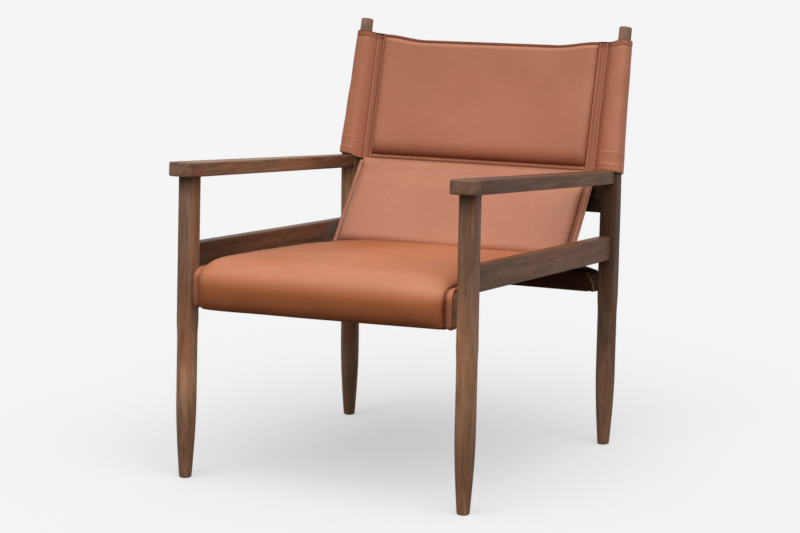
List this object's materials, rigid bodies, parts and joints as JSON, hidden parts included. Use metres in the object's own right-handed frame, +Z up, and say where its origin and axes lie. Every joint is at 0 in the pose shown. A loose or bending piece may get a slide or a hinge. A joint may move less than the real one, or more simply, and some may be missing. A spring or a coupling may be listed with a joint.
{
  "type": "sling lounge chair",
  "caption": "Low lounge chair: turned wooden frame, sloping flat arms, padded leather sling seat and lower back, and an upper back sling that slips over the raked rear posts.",
  "frame": {"origin": "on the floor, under the middle of the chair's bounding box", "axes": "+Z up, -Y the way the sitter faces, +X to the right of someone looking at the chair's front"},
  "size_m": [0.6044, 0.7286, 0.8024],
  "materials": {
    "frame_wood": "satin dark walnut stain",
    "peg_wood": "plain beech",
    "glide": "black nylon",
    "leather": "tan, semi-aniline",
    "edge_leather": "darker bound edge",
    "canvas": "woven carrier cloth",
    "foam": "soft foam"
  },
  "bodies": {
    "frame": {"front_leg_left": "frame_wood", "front_leg_right": "frame_wood", "rear_post_left": "frame_wood", "rear_post_right": "frame_wood", "arm_left": "frame_wood", "arm_right": "frame_wood", "side_rail_left": "frame_wood", "side_rail_right": "frame_wood", "front_rail": "frame_wood", "rear_rail": "frame_wood", "back_crossbar": "frame_wood", "arm_front_dowel_left": "peg_wood", "arm_front_dowel_right": "peg_wood", "arm_rear_dowel_left": "peg_wood", "arm_rear_dowel_right": "peg_wood", "front_glide_left": "glide", "front_glide_right": "glide", "rear_glide_left": "glide", "rear_glide_right": "glide", "seat_canvas": "canvas", "seat_foam": "foam", "seat_leather": "leather", "seat_hem_left": "leather", "seat_hem_right": "leather", "lower_back_canvas": "canvas", "lower_back_foam": "foam", "lower_back_leather": "leather", "lower_back_hem_left": "leather", "lower_back_hem_right": "leather"},
    "back_sling": {"back_sleeve_left": "leather", "back_sleeve_right": "leather", "upper_back_leather": "leather", "upper_back_foam": "foam", "upper_back_backing": "leather", "upper_back_top_binding": "edge_leather", "upper_back_bottom_binding": "leather"}
  },
  "joints": [
    {"name": "back_sling_lift", "type": "slide", "parent": "frame", "child": "back_sling", "axis": [0, 0.2436, 0.9699], "range_m": [0, 0.29]}
  ]
}
